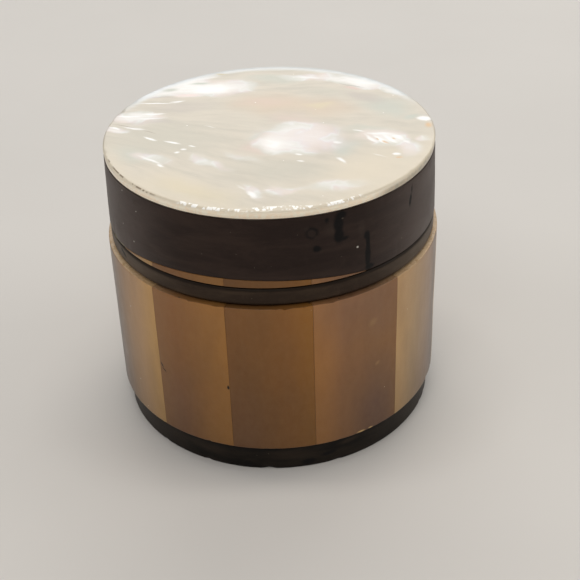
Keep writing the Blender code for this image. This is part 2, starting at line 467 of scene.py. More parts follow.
# Bright clouds in the plate: place, half length and half width in mm, tilt, strength
PLATE_CLOUDS = (
    (0.9, -4, 3.4, 3.2, 0, 0.95),
    (2.2, 0.2, 4.6, 2.6, 55, 0.34),
    (4.6, 1.4, 3.6, 1.8, -12, 0.22),
    (3, -5.4, 4.6, 2.4, -28, 0.42),
    (5.6, -1.6, 7, 5.2, -15, 0.34),
    (15.4, -3.6, 4.4, 3.4, -20, 0.8),
    (18.2, -6.8, 2.6, 2.4, 0, 0.34),
    (20.6, -3.4, 1.4, 1.2, 0, 0.45),
    (-8.4, 14.6, 6.8, 4.1, 4, 1),
    (-13.6, 14, 6, 2.8, 26, 0.7),
    (-18.6, 6, 5.4, 1.5, -3, 0.75),
    (-20.4, 2.6, 3.6, 1.2, -20, 0.65),
    (3.6, -2.2, 8.6, 5.4, -15, 0.3),
    (-12, 16.2, 5.4, 2.8, 28, 0.85),
    (-3.6, 14.2, 3, 1.8, 0, 0.4),
    (-16.4, 13.2, 2.4, 1, 42, 0.8),
    (12.4, 15.6, 7.8, 2.2, -31, 0.9),
    (5.2, 17.4, 5, 1.6, -8, 0.5),
    (17.6, 11, 3, 0.9, -45, 0.7),
    (-6.8, -8.4, 4.6, 1.2, -52, 0.22),
    (-3.6, -7, 4, 1, -35, 0.16),
    (-2.6, -16.4, 3.2, 1.4, -62, 0.4),
    (8, -15.6, 5.4, 2.2, 10, 0.32),
    (1.4, -16.4, 3.6, 1.6, 0, 0.34),
    (-17, 4.8, 4.6, 2.4, -8, 0.16),
    (-15.2, -6.6, 4.8, 1.6, -38, 0.4),
    (-8.6, -7.6, 3.6, 1.4, -40, 0.3),
)

# Streaky flames in the plate: place, half length and half width in mm, tilt, strength
PLATE_FLAMES = (
    (0.8, -4.1, 1.2, 1, 0, 0.9),
    (11.8, -0.8, 1.4, 0.4, -30, 0.85),
    (13.2, -3.3, 2.6, 0.6, -64, 1.05),
    (14.4, -3.8, 2.7, 0.55, -63, 1.25),
    (15.6, -3.7, 2.5, 0.6, -60, 1.25),
    (16.8, -3.2, 1.8, 0.7, -48, 1.25),
    (17.8, -4.6, 1.2, 0.5, -50, 0.8),
    (14.6, -2, 3.2, 0.6, -8, 0.95),
    (16.2, -8, 0.9, 0.6, -20, 1.2),
    (13.8, -8.1, 2.2, 0.35, -30, 0.55),
    (20.8, 2.3, 1.7, 1.5, -20, 1.4),
    (8.8, -4, 0.9, 0.6, -10, 0.9),
    (9.1, -9.2, 1.6, 0.6, -60, 1),
    (3.8, -7.1, 0.9, 0.4, -10, 1.1),
    (4, -9, 0.8, 0.36, -10, 1),
    (-8.2, 14.2, 5.6, 2.6, 4, 1.15),
    (-9.6, 18, 4.6, 0.8, 12, 0.9),
    (-16.2, 13.4, 1.8, 0.45, 42, 0.95),
    (12.8, 15.6, 6.2, 1.2, -32, 0.85),
    (5.6, 17.2, 4.4, 0.5, -8, 0.8),
    (-15.6, 10.1, 4.2, 0.26, -4, 1.25),
    (-12.6, 10.4, 1.6, 0.45, 8, 1.15),
    (-19, 5.9, 3, 0.48, -4, 1.2),
    (-15.8, 6.6, 3, 0.5, 0, 1.05),
    (-16, 5.2, 3.2, 0.38, -4, 1),
    (-20.6, 2.3, 1.6, 0.4, -28, 1.25),
    (-18, 2.2, 2.8, 0.52, -22, 0.95),
    (-15.6, -1.2, 1.8, 0.42, -32, 1.25),
    (-12.6, -2.4, 1.9, 0.44, -28, 1.3),
    (-9.9, -3.7, 0.8, 0.3, -20, 1.1),
    (-15.2, -7.2, 3.6, 0.46, -40, 0.95),
    (-13.7, -8.9, 1.1, 0.46, -45, 1.2),
    (-7.8, 2, 1.6, 0.2, -27, 0.8),
    (-2, -17.4, 1.9, 0.7, -64, 1.15),
    (-3.4, -15.4, 1.7, 0.5, -50, 0.6),
    (-0.2, -16.3, 1.1, 0.35, 0, 0.6),
)

# Small flecks and hairlines in the plate: place, half length and half width in mm, tilt, colour
PLATE_FLECKS = (
    (-11, -4.5, 0.5, 0.4, 0, WHITE),
    (-11.8, -5.3, 0.55, 0.42, 0, WHITE),
    (15, -4.7, 0.95, 0.3, -55, AMBER),
    (16.2, -3.6, 0.5, 0.25, -40, AMBER),
    (14, -3.6, 0.6, 0.2, -62, AMBER),
    (16.4, -9, 0.7, 0.4, -10, AMBER),
    (21, 0.1, 0.8, 1.3, 0, AMBER),
    (-6.8, 19.4, 1.3, 0.45, -4, lit(192, 180, 142)),
    (-19.2, 2.9, 2.6, 0.13, -22, HAIRLINE),
    (-15.8, 1, 1.6, 0.1, -30, HAIRLINE),
    (11.8, 13.8, 2.6, 0.2, -27, SHADE),
    (-9.8, 16.2, 2.2, 0.7, 0, GREEN),
    (-13.9, 14.4, 1.7, 0.8, 10, GREEN),
    (-11.2, 12.4, 2.8, 0.9, -2, lit(234, 216, 209)),
    (11.9, 13, 1.9, 0.7, -27, PINK),
)

# Where the growth lines of the plate start, in mm, well outside it
GROWTH_CENTRE = (-50.0, 14.0)

# Base colour of each stave at four places across it, from its left edge to its right as seen from
# outside. Then where across it a mauve tint rises from its foot and how strongly, and how strong
# the tint is that hangs from its top.
STAVE_FIGURES = (
    (((62, 43, 31), (136, 104, 75), (198, 157, 112), (214, 167, 102)), 0.2, 0.45, 0.15),
    (((147, 101, 57), (147, 97, 51), (164, 112, 55), (176, 121, 57)), 0.3, 0.5, 0.05),
    (((131, 86, 43), (135, 89, 43), (145, 94, 41), (154, 101, 37)), 0.2, 0.35, 0),
    (((186, 127, 68), (158, 110, 71), (147, 103, 64), (147, 98, 48)), 0.7, 1, 0.3),
    (((216, 173, 118), (194, 161, 119), (162, 134, 113), (90, 74, 66)), 0.7, 0.3, 0.2),
    (((176, 140, 104), (150, 116, 86), (138, 98, 60), (170, 118, 62)), 0.35, 0.7, 0.15),
    (((122, 88, 60), (134, 92, 50), (150, 104, 52), (182, 134, 74)), 0.15, 0.5, 0.1),
    (((196, 150, 98), (168, 126, 92), (140, 108, 90), (118, 92, 80)), 0.85, 0.8, 0.25),
    (((140, 98, 54), (132, 88, 46), (128, 84, 44), (146, 100, 46)), 0.4, 0.4, 0.1),
    (((180, 122, 62), (156, 110, 72), (142, 104, 78), (128, 92, 66)), 0.7, 0.9, 0.2),
    (((112, 84, 68), (132, 96, 66), (160, 114, 64), (188, 138, 78)), 0.1, 0.8, 0.1),
    (((150, 104, 58), (138, 96, 56), (130, 94, 66), (120, 90, 72)), 0.6, 0.5, 0.15),
)
STAVE_STOPS = (0.03, 0.30, 0.72, 0.96)
MAUVE = lit(112, 80, 72)
CROWN = lit(122, 96, 88)
END_GRAIN = lit(226, 198, 160)

# Marks on the walls: angle from the front, height, half length and half width in mm, tilt, strength, colour
DARK = lit(14, 11, 11)
PALE = lit(92, 82, 72)
DUST = lit(190, 185, 175)
LIP_PALE = lit(150, 142, 112)
LID_BROWN = lit(44, 34, 30)
LID_MARKS = (
    (12.9, 36.3, 1.15, 1.1, -20, 1.8, DARK),
    (12.8, 36.25, 0.85, 0.75, -20, 1.6, LID_BROWN),
    (11, 37, 0.6, 0.5, 30, 1.4, LID_BROWN),
    (14.4, 35.6, 0.55, 0.5, 30, 1.4, LID_BROWN),
    (14.3, 34.05, 0.75, 0.62, -15, 1.7, DARK),
    (17.8, 37.65, 0.42, 0.5, 0, 1, DARK),
    (19.4, 36.4, 1.4, 1.7, 0, 0.1, PALE),
    (22.6, 37.95, 1.05, 0.85, 0, 1.6, DARK),
    (21.7, 36.9, 0.95, 1.5, 0, 1.9, DARK),
    (21.8, 35.3, 0.9, 1.45, 0, 1.9, DARK),
    (23.7, 34.7, 0.9, 0.42, 8, 1.2, DARK),
    (23.2, 37.45, 0.24, 0.16, 0, 0.7, PALE),
    (29.9, 35.3, 0.8, 1.7, 0, 0.1, PALE),
    (31.9, 34.2, 0.62, 0.8, 0, 1.6, DARK),
    (32.2, 32.9, 0.46, 1.9, 0, 1.6, DARK),
    (32.2, 31.2, 0.6, 2.3, 0, 1.8, DARK),
    (32.8, 29.7, 0.9, 0.6, 0, 2, DARK),
    (53.4, 37.3, 0.26, 0.9, -4, 1.2, DARK),
    (52.5, 35.9, 0.42, 1.2, -8, 1.6, DARK),
    (28.4, 33, 0.24, 0.18, 0, 1.4, DUST),
    (-49.3, 36.1, 0.11, 0.11, 0, 1.2, DUST),
    (-58.9, 32.9, 0.11, 0.13, 0, 1, DUST),
    (-52.2, 31.4, 0.15, 0.15, 20, 1.2, DUST),
    (-57.5, 37.8, 0.3, 0.14, 20, 0.5, DUST),
    # Painted glint: a thin pale line along the lid's lower arris at the left.
    (-58, 29.32, 4.6, 0.13, 0, 0.9, LIP_PALE),
    (-75, 29.4, 0.8, 0.22, -20, 0.7, LIP_PALE),
    (-80, 29.6, 0.22, 0.6, 0, 0.6, LIP_PALE),
    (-150, 33, 5, 1.2, -8, 0.35, PALE),
    (120, 35, 6, 1.4, 6, 0.35, PALE),
    (165, 33.5, 0.35, 2.2, 5, 1.2, DARK),
    (-118, 35.5, 0.9, 0.5, 25, 0.9, DARK),
    (-98, 32, 1.6, 0.2, 50, 0.9, DARK),
)
NECK_MARKS = (
    (-61.4, 27.95, 1.1, 0.34, -20, 2.4, DARK),
    (-63, 28.2, 0.4, 0.3, 0, 1.8, DARK),
    (-75, 28.4, 0.9, 0.24, -12, 0.8, DARK),
    (-80, 28.2, 0.26, 0.2, 0, 0.7, LIP_PALE),
    (-70, 28.85, 1.8, 0.12, 0, 0.7, LIP_PALE),
    (74, 27.6, 1, 0.25, 15, 1, DARK),
    (148, 27.4, 1.4, 0.2, -6, 1, DARK),
)
FOOT_BROWN = lit(54, 43, 33)
FOOT_MARKS = (
    (10, 0.9, 1.4, 0.6, 0, 1.8, DARK),
    (17.5, 1.7, 1.7, 0.45, 8, 1.5, DARK),
    (-11.5, 0.7, 1, 0.45, 0, 1.5, DARK),
    (25, 2.9, 2.4, 0.6, 6, 0.6, FOOT_BROWN),
    (3, 2.4, 5.5, 1.2, 0, 0.4, FOOT_BROWN),
    (-26, 2.4, 4.5, 1.2, -4, 0.4, FOOT_BROWN),
    (80, 1.8, 3.5, 0.8, 3, 0.4, FOOT_BROWN),
    (-150, 2.2, 1.6, 0.4, -8, 1.2, DARK),
)
SHELL_GOLD = lit(214, 178, 118)
STAVE_MARKS = (
    (-42.2, 14.3, 0.6, 0.13, -62, 2, DARK),
    (-41.4, 13.6, 0.55, 0.12, -38, 2, DARK),
    (-16.2, 13.9, 0.2, 0.45, 0, 1.6, DARK),
    (-15.9, 9.4, 0.16, 0.6, 0, 1.2, DARK),
    (33.6, 21.4, 1.1, 0.8, 35, 0.1, SHELL_GOLD),
    (35.6, 14.6, 0.6, 0.45, 35, 0.14, SHELL_GOLD),
    (29, 4.3, 0.9, 0.24, 0, 0.8, SHELL_GOLD),
    (33, 4.3, 0.5, 0.2, 0, 0.8, SHELL_GOLD),
    (-58, 20.6, 0.14, 0.14, 0, 1.2, DUST),
    (-57, 8.8, 0.14, 0.14, 0, 1.2, DUST),
    (104, 18.4, 0.8, 0.12, -55, 1.6, DARK),
    (171, 9.2, 0.9, 0.12, 48, 1.6, DARK),
    (-131, 16, 0.6, 0.12, 70, 1.6, DARK),
)


def spot(g, place, x, y, long, short, tilt):
    """1 at the middle of an oval in the XY plane, fading to 0 at its edge. Lengths are in mm."""
    cosine = math.cos(math.radians(tilt))
    sine = math.sin(math.radians(tilt))
    offset = g.vector_math("SUBTRACT", place, (x, y, 0.0))
    along = g.vector_math("DOT_PRODUCT", offset, (cosine / long, sine / long, 0.0))
    across = g.vector_math("DOT_PRODUCT", offset, (-sine / short, cosine / short, 0.0))
    square = g.math("MULTIPLY_ADD", along, along, g.times(across, across))
    return g.fade(g.math("SQRT", square), 1.0, 0.1)


def warped(g, place, scale, amount):
    """Shift places by up to half an amount of noise, so that shapes drawn with them are uneven."""
    shift = g.node("TexNoise", Vector=place, Scale=scale, Detail=3.0).outputs["Color"]
    centred = g.vector_math("SUBTRACT", shift, (0.5, 0.5, 0.5))
    return g.vector_math("ADD", place, g.scaled(centred, amount, amount, 0.0))


def growth_lines(g, place):
    """Place across and along the shell's growth lines, which fan out from a point beside the plate."""
    x, y = g.parts(place)[:2]
    away_x = g.minus(x, GROWTH_CENTRE[0])
    away_y = g.minus(y, GROWTH_CENTRE[1])
    across = g.times(g.math("ARCTAN2", away_y, away_x), -GROWTH_CENTRE[0])
    return g.joined(across, g.length(g.joined(away_x, away_y)))


def brightest(g, place, features):
    """The strongest of a list of ovals at each place."""
    field = None
    for *oval, strength in features:
        one = g.times(spot(g, place, *oval), strength)
        field = g.math("MAXIMUM", field, one) if field else one
    return field


def blended(g, place, features):
    """A list of ovals laid over each other like thin veils, each at most 1 strong."""
    clear = None
    for *oval, strength in features:
        veil = g.math("MULTIPLY_ADD", spot(g, place, *oval), -strength, 1.0)
        clear = g.times(clear, veil) if clear else veil
    return g.minus(1.0, clear)


def plate_ground(g, growth, loose):
    """The cream ground of the plate: satin growth lines under broad soft tints."""
    broad = g.grain(growth, (0.42, 0.08, 0.0), 3.0, 0.5)
    satin = g.grain(growth, (0.75, 0.16, 0.0), 4.0, 0.55)
    colour = g.mix(g.fade(broad, 0.25, 0.75), lit(193, 186, 169), lit(204, 195, 177))
    colour = g.mix(g.fade(satin, 0.38, 0.75), colour, lit(208, 199, 181))
    colour = g.mix(g.times(g.fade(satin, 0.50, 0.25), 0.6), colour, lit(187, 179, 161))
    for *oval, tint, strength in PLATE_TINTS:
        colour = g.mix(g.times(spot(g, loose, *oval), strength), colour, tint)
    return colour


def painted_rim_light(g, colour, flat, ragged, fibres):
    """Painted light round the plate's rim: a cool white band round the back stands for the reflection of
    the light behind, and a warm band round the front for the warm light in front.
    """
    off_centre = (0.0, 0.3, 0.0)
    radius = g.length(g.vector_math("ADD", flat, off_centre))
    outwards = g.plus(radius, g.range(fibres, -0.5, 0.5))
    y = g.parts(ragged)[1]
    # Painted reflection: a cool white band round the back of the rim.
    far_painted_reflection = g.times(g.fade(outwards, 20.2, 21.4), g.fade(y, 6.0, 12.0))
    colour = g.mix(g.times(far_painted_reflection, 0.8), colour, BLUE)
    # Painted light: a warm band round the front of the rim.
    near = g.times(g.fade(outwards, 18.6, 21.6), g.fade(y, 2.0, -8.0))
    return g.mix(g.times(near, 0.7), colour, CREAM)


def plate_pearl():
    """Cream mother-of-pearl: soft tints, bright clouds with coloured fringes, and streaky flames."""
    g = Graph("plate_pearl")
    place = g.place()
    flat = g.flat(place)
    loose = warped(g, flat, scale=0.14, amount=5.0)
    ragged = warped(g, flat, scale=0.32, amount=1.0)
    growth = growth_lines(g, warped(g, flat, scale=0.10, amount=3.0))
    fibres = g.grain(growth, (1.5, 0.22, 0.0), 5.0, 0.62)
    colour = plate_ground(g, growth, loose)

    clouds = blended(g, loose, PLATE_CLOUDS)
    unevenness = g.times(g.minus(fibres, 0.5), 0.9)
    flames = g.fade(g.plus(brightest(g, ragged, PLATE_FLAMES), unevenness), 0.12, 1.30)
    glow = g.math("MAXIMUM", clouds, g.times(flames, 0.9))

    # Colours turn through green, blue, lilac and pink round the bright places
    turn = g.fade(g.noise(loose, 0.22, 2.0), 0.38, 0.62)
    tints = ((0.0, GREEN), (0.35, BLUE), (0.65, LILAC), (1.0, PINK))
    fringe_colour = g.ramp(turn, tints)
    fringe = g.times(g.fade(clouds, 0.02, 0.30), g.fade(glow, 0.95, 0.35), 0.50)
    colour = g.mix(fringe, colour, fringe_colour)
    modelled = g.times(clouds, g.range(fibres, 0.60, 1.15))
    colour = g.mix(g.math("MINIMUM", modelled, 1.0), colour, WHITE)
    colour = g.mix(flames, colour, WHITE)
    colour = painted_rim_light(g, colour, flat, ragged, fibres)

    for *oval, fleck in PLATE_FLECKS:
        colour = g.mix(spot(g, ragged, *oval), colour, fleck)
    fine = g.grain(growth, (5.0, 1.2, 0.0), 4.0, 0.6)
    colour = g.mix(g.range(fine, 0.0, 0.14), colour, lit(190, 178, 156))
    colour = add_specks(g, colour, place, scale=1.1, share=0.05, size=0.12, speck=(0.95, 0.93, 0.88))
    colour = add_specks(g, colour, place, scale=0.7, share=0.03, size=0.08, speck=lit(150, 125, 90))
    colour = plate_side(g, place, colour)

    ripples = g.plus(g.noise(loose, 0.35, 2.0), g.times(fibres, 0.15))
    g.surface(colour, g.range(glow, 0.44, 0.28), ripples, strength=0.20, depth=0.6 * MM)
    g.set(Specular_IOR_Level=0.5, Coat_Weight=0.5, Coat_Roughness=0.07, Coat_IOR=1.5)
    return g.material


def round_and_up(g, place):
    """Angle from the front in radians, and height in mm."""
    x, y, z = g.parts(place)
    return g.math("ARCTAN2", x, g.times(y, -1.0)), z


def plate_side(g, place, colour):
    """The cut side of the disc, with a dark olive band on it at the right and marks along its arrises."""
    angle, z = round_and_up(g, place)
    height = g.minus(z, bottom_of("lid_plate") / MM)
    radius = g.length(g.flat(place))
    edge = PLATE_RADIUS / MM
    thickness = PLATE_THICKNESS / MM
    below_arris = g.fade(height, thickness - 0.02, thickness - 0.50)
    side = g.times(g.fade(radius, edge - 0.50, edge - 0.12), below_arris)
    mottle = g.noise(place, 1.8, 4.0, 0.6)
    side_colour = g.mix(g.fade(mottle, 0.35, 0.65), lit(255, 235, 206), lit(255, 246, 224))
    # A dark grey-olive band on the side at the right.
    dark_olive_band = g.band(angle, math.radians(32), math.radians(44), 1.6, 2.2)
    dark_olive_band = g.times(dark_olive_band, g.range(mottle, 0.3, 0.9))
    side_colour = g.mix(dark_olive_band, side_colour, lit(92, 84, 62))
    colour = g.mix(side, colour, side_colour)

    # Dirt in the upper arris at the left
    arris = g.band(radius, edge - 0.42, edge - 0.34, edge - 0.26, edge - 0.16)
    broken = g.fade(g.noise(place, 1.1, 3.0), 0.44, 0.54)
    dirt = g.times(arris, broken, g.band(angle, -1.35, -1.20, -0.80, -0.62), 0.8)
    colour = g.mix(dirt, colour, lit(112, 90, 66))

    # A row of painted glints, tiny bright dots along the front of the upper arris, which strays inwards at
    # its middle
    stray = g.fade(g.math("ABSOLUTE", g.minus(angle, 0.03)), 0.24, 0.04)
    row = g.plus(radius, g.times(stray, 0.50))
    beside = g.math("ABSOLUTE", g.minus(row, edge - 0.46))
    in_row = g.fade(g.math("DIVIDE", beside, g.range(stray, 0.34, 0.62)), 1.0, 0.55)
    arc = g.joined(g.times(angle, edge), g.times(radius, 0.62))
    distance, chance = g.cells(arc, 2.3)
    painted_glint = g.times(g.fade(distance, 0.70, 0.42), g.fade(chance, 0.10, 0.16), in_row)
    painted_glint = g.times(painted_glint, g.band(angle, -0.56, -0.50, 0.50, 0.56))
    colour = g.mix(painted_glint, colour, (1.0, 0.99, 0.95))

    # Warm specks along the lower arris
    low_arc = g.joined(g.times(angle, edge), g.times(height, 0.5))
    distance, chance = g.cells(low_arc, 1.6)
    speck = g.times(g.fade(distance, 0.42, 0.16), g.fade(chance, 0.40, 0.46))
    low = g.times(g.fade(height, 0.50, 0.36), g.fade(radius, edge - 0.20, edge - 0.10))
    speck = g.times(speck, low, g.band(angle, -0.20, -0.12, 0.35, 0.50))
    return g.mix(speck, colour, (1.0, 0.97, 0.86))


def stave_end(g, place, offset, colour, top_face):
    """The cut top end of a stave: the shell's pale layers, with a few pits in them, and painted shade that
    darkens it towards the front.
    """
    layers = g.grain(offset, (2.5, 2.5, 1.0), 3.0)
    # Painted shade: towards the front the end keeps the wall's colour, darkened, and it turns pale towards
    # the back and sides.
    painted_shade_end = g.mix(0.45, colour, lit(30, 20, 12))
    pale = g.mix(g.fade(layers, 0.45, 0.7), END_GRAIN, lit(200, 166, 124))
    away_from_front = g.fade(g.parts(place)[1], -20.0, -9.0)
    end_colour = g.mix(g.times(away_from_front, 0.75), painted_shade_end, pale)
    distance, chance = g.cells(offset, 1.3)
    pit = g.times(g.fade(distance, 0.24, 0.12), g.fade(chance, 0.80, 0.85))
    return g.mix(top_face, colour, g.mix(pit, end_colour, lit(62, 48, 36)))


def stave_pearl(name, figure, marks, seed):
    """Brown-gold shell that shades across the stave. The attribute place holds (across, up)."""
    g = Graph(name)
    across, up = g.parts(g.attribute("place"))[:2]
    place = g.place()
    noise_shift = (seed * 37.0, seed * 11.0, 0.0)
    offset = g.vector_math("ADD", place, noise_shift)
    soft = g.scaled(offset, 1.0, 1.0, 0.35)
    shifted = g.plus(across, g.range(g.noise(soft, 0.10, 2.0), -0.10, 0.10))
    stops, mauve_place, mauve_strength, crown_strength = figure
    colour = g.ramp(shifted, [(position, lit(*stop)) for position, stop in zip(STAVE_STOPS, stops)])

    # A mauve tint rises from the foot and another hangs from the top. Painted shade darkens the shell lower
    # down, and it is darker still on the lid.
    reach = g.math("DIVIDE", g.minus(shifted, mauve_place), 0.42)
    beside = g.fade(g.math("ABSOLUTE", reach), 1.0, 0.0)
    rise = g.fade(g.plus(up, g.range(g.noise(offset, 0.16, 3.0), -0.2, 0.2)), 0.62, 0.05)
    colour = g.mix(g.times(beside, rise, 0.75 * mauve_strength), colour, MAUVE)
    hang = g.fade(g.plus(up, g.range(g.noise(offset, 0.20, 3.0), -0.15, 0.15)), 0.58, 0.95)
    colour = g.mix(g.times(hang, crown_strength), colour, CROWN)
    cloud = g.noise(soft, 0.30, 4.0, 0.55)
    colour = g.mix(g.range(g.fade(cloud, 0.40, 0.70), 0.0, 0.16), colour, lit(98, 70, 48))
    # Painted shade: darker towards the foot.
    colour = g.mix(g.range(up, 0.46, 0.0), colour, BLACK)
    on_lid = g.fade(up, 1.02, 1.10)
    colour = g.mix(g.times(on_lid, 0.30), colour, BLACK)

    # Nacre has a fine even grain
    fine = g.grain(offset, (1.2, 1.2, 0.8), 5.0, 0.6)
    colour = g.mix(g.range(fine, 0.0, 0.10), colour, lit(206, 172, 126))
    grains = g.noise(offset, 6.0, 3.0, 0.7)
    colour = g.mix(g.range(grains, 0.0, 0.16), colour, lit(60, 42, 30))

    top_face = g.times(g.facing_up(0.50, 0.85), g.minus(1.0, on_lid))
    colour = stave_end(g, place, offset, colour, top_face)
    colour = add_specks(g, colour, offset, scale=0.9, share=0.06, size=0.08, speck=lit(225, 210, 180))
    colour = add_specks(g, colour, offset, scale=0.5, share=0.04, size=0.05, speck=lit(60, 42, 30))
    colour = add_marks(g, place, colour, marks)

    rough = g.range(g.noise(offset, 0.35, 3.0), 0.26, 0.38)
    ripple = g.plus(g.noise(soft, 0.5, 2.0), g.times(fine, 0.08))
    g.surface(colour, rough, ripple, strength=0.12, depth=0.5 * MM)
    g.set(Specular_IOR_Level=0.22, Coat_Weight=0.08, Coat_Roughness=0.16, Coat_IOR=1.5)
    return g.material


def add_marks(g, place, colour, marks):
    """Draw scuffs, nicks, dust and painted glints on a piece's wall, as ovals on the wall rolled out flat.
    """
    angle, height = round_and_up(g, place)
    uneven = warped(g, g.joined(g.times(angle, SHELL_RADIUS / MM), height), scale=0.9, amount=0.35)
    edge = PLATE_RADIUS / MM
    on_wall = g.fade(g.length(g.flat(place)), edge - 0.3, edge - 0.1)
    for degrees, *oval, strength, mark in marks:
        along = math.radians(degrees) * SHELL_RADIUS / MM
        shape = g.math("MINIMUM", g.times(spot(g, uneven, along, *oval), strength), 1.0)
        colour = g.mix(g.times(shape, on_wall), colour, mark)
    return colour


def horn_colour(g, place, dark, light, side):
    """Cloudy near-black with faint streaks round the piece, with painted sheen that turns it to a lighter
    grey away from the front.
    """
    clouds = g.grain(place, (0.12, 0.12, 0.5), 5.0, 0.6, 0.4)
    colour = g.mix(g.fade(clouds, 0.35, 0.75), dark, light)
    # Painted sheen: lighter and more grey towards the sides, away from the front.
    front = g.math("DIVIDE", g.times(g.parts(place)[1], -1.0), g.length(g.flat(place)))
    painted_side_sheen = g.times(g.fade(front, 0.90, 0.50), g.range(clouds, 0.55, 1.2))
    colour = g.mix(g.math("MINIMUM", painted_side_sheen, 1.0), colour, side)
    mottle = g.fade(g.noise(place, 0.9, 5.0, 0.65), 0.5, 0.8)
    return g.mix(g.times(mottle, 0.4), colour, light)


def finish_horn(g, place, colour, roughness):
    """Dust on the colour, turning lines and smeared gloss."""
    colour = add_specks(g, colour, place, scale=0.8, share=0.10, size=0.07, speck=lit(120, 110, 98))
    colour = add_specks(g, colour, place, scale=1.9, share=0.05, size=0.10, speck=lit(100, 92, 82))
    turning = g.grain(place, (0.04, 0.04, 9.0), 4.0, 0.65)
    scratches = g.fade(g.grain(place, (0.5, 0.5, 14.0), 2.0), 0.62, 0.72)
    relief = g.plus(turning, g.times(scratches, 0.4))
    rough = g.range(g.noise(place, 0.25, 4.0, 0.6), roughness - 0.08, roughness + 0.10)
    g.surface(colour, rough, relief, strength=0.10, depth=0.2 * MM)
    g.set(Specular_IOR_Level=0.12)
    return g.material


def foot_horn():
    g = Graph("foot_horn")
    place = g.place()
    colour = horn_colour(g, place, lit(15, 11, 8), lit(38, 31, 24), lit(43, 35, 28))
    colour = add_marks(g, place, colour, FOOT_MARKS)
    return finish_horn(g, place, colour, 0.42)


def neck_horn():
    """Horn with painted shade along its top, under the lid's edge."""
    g = Graph("neck_horn")
    place = g.place()
    colour = horn_colour(g, place, lit(48, 36, 27), lit(68, 54, 41), lit(88, 76, 64))
    neck_top = top_of("neck_ring") / MM
    # Painted shade: the neck's top is darkened where the lid's edge overhangs it.
    uneven = g.plus(g.parts(place)[2], g.range(g.noise(place, 0.7, 3.0), -0.12, 0.12))
    painted_shade_under_lid = g.fade(uneven, neck_top - 0.55, neck_top - 0.2)
    colour = g.mix(g.times(painted_shade_under_lid, 0.75), colour, lit(22, 15, 8))
    colour = add_marks(g, place, colour, NECK_MARKS)
    return finish_horn(g, place, colour, 0.45)


def lid_horn():
    g = Graph("lid_horn")
    place = g.place()
    colour = horn_colour(g, place, lit(40, 29, 25), lit(54, 41, 35), lit(82, 71, 66))
    colour = add_marks(g, place, colour, LID_MARKS)
    return finish_horn(g, place, colour, 0.42)


def core_wood():
    """Stained turned hardwood with grain along the turning axis."""
    g = Graph("core_wood")
    place = g.place()
    grain = g.grain(warped(g, place, scale=0.1, amount=2.0), (1.6, 1.6, 0.1), 5.0, 0.65)
    colour = g.ramp(grain, ((0.30, lit(70, 44, 28)), (0.50, lit(112, 74, 46)), (0.72, lit(146, 101, 64))))
    pore = g.fade(g.grain(place, (7.0, 7.0, 0.35), 2.0), 0.62, 0.72)
    colour = g.mix(g.times(pore, 0.7), colour, lit(46, 28, 18))
    turning = g.grain(place, (0.05, 0.05, 6.0), 3.0)
    relief = g.minus(g.times(turning, 0.5), g.times(pore, 0.8))
    g.surface(colour, g.range(grain, 0.48, 0.62), relief, strength=0.25, depth=0.2 * MM)
    g.set(Specular_IOR_Level=0.4)
    return g.material


def rosin():
    """Dark amber resin, glassy where it was poured and powdery where the bow has rubbed it."""
    g = Graph("rosin")
    place = g.place()
    depth = g.noise(warped(g, place, scale=0.12, amount=3.0), 0.16, 4.0, 0.6)
    colour = g.ramp(depth, ((0.30, lit(120, 56, 10)), (0.55, lit(176, 92, 20)), (0.80, lit(206, 126, 40))))
    strokes = g.grain(place, (0.24, 8.0, 1.0), 3.0, 0.55)
    grains = g.noise(place, 4.5, 3.0, 0.7)
    beside = g.math("ABSOLUTE", g.plus(g.parts(place)[1], g.range(g.noise(place, 0.2), -2.0, 2.0)))
    on_top = g.facing_up(0.6, 0.9)
    rubbed = g.times(g.fade(beside, 8.5, 3.5), on_top)
    powder = g.times(rubbed, g.plus(g.range(strokes, 0.10, 1.15), g.range(grains, 0.0, 0.45)), 0.74)
    dust = g.times(on_top, g.fade(g.noise(place, 1.6, 5.0, 0.7), 0.50, 0.75), 0.25)
    white = g.math("MINIMUM", g.plus(powder, dust), 1.0)
    colour = g.mix(white, colour, lit(246, 226, 184))
    relief = g.plus(g.times(strokes, g.times(rubbed, 0.3)), g.noise(place, 0.5, 3.0))
    g.surface(colour, g.range(white, 0.10, 0.75), relief, strength=0.35, depth=0.2 * MM)
    g.set(Subsurface_Weight=0.55, Subsurface_Radius=(0.0040, 0.0016, 0.0004), Subsurface_Scale=1.0)
    g.set(IOR=1.52, Coat_Weight=0.4, Coat_Roughness=0.08)
    return g.material


def glue():
    """Old dark glue in the line under the pearl plate."""
    g = Graph("glue")
    lumps = g.noise(g.place(), 1.5, 4.0, 0.6)
    colour = g.mix(lumps, lit(22, 16, 12), lit(74, 56, 38))
    g.surface(colour, g.range(lumps, 0.3, 0.6), lumps, strength=0.5, depth=0.2 * MM)
    return g.material


# ---------------------------------------------------------------- pieces

# How far each stretch of shell reaches into the joint beside it, which leaves a hairline
JOINT_FILL = 0.035 * MM


def wave(point, scale, seed=0.0):
    """Smooth noise from -1 to 1 at a place in the frame. scale is the size of its lumps."""
    return noise.noise(point / scale + Vector((seed, seed * 0.7, seed * 0.3)))


def pitting(point, scale, least, seed):
    """Depth of scattered pits, from 0: where the noise passes least there is one."""
    return max(0.0, wave(point, scale, seed) - least)


def nearness(distance, reach):
    """1 at no distance, falling to 0 at reach."""
    return max(0.0, 1.0 - distance / reach)


def steps_between(start, end, step):
    """Evenly spaced angles from start to end, about a step apart."""
    count = max(2, math.ceil((end - start) / step))
    return [start + (end - start) * index / count for index in range(count + 1)]


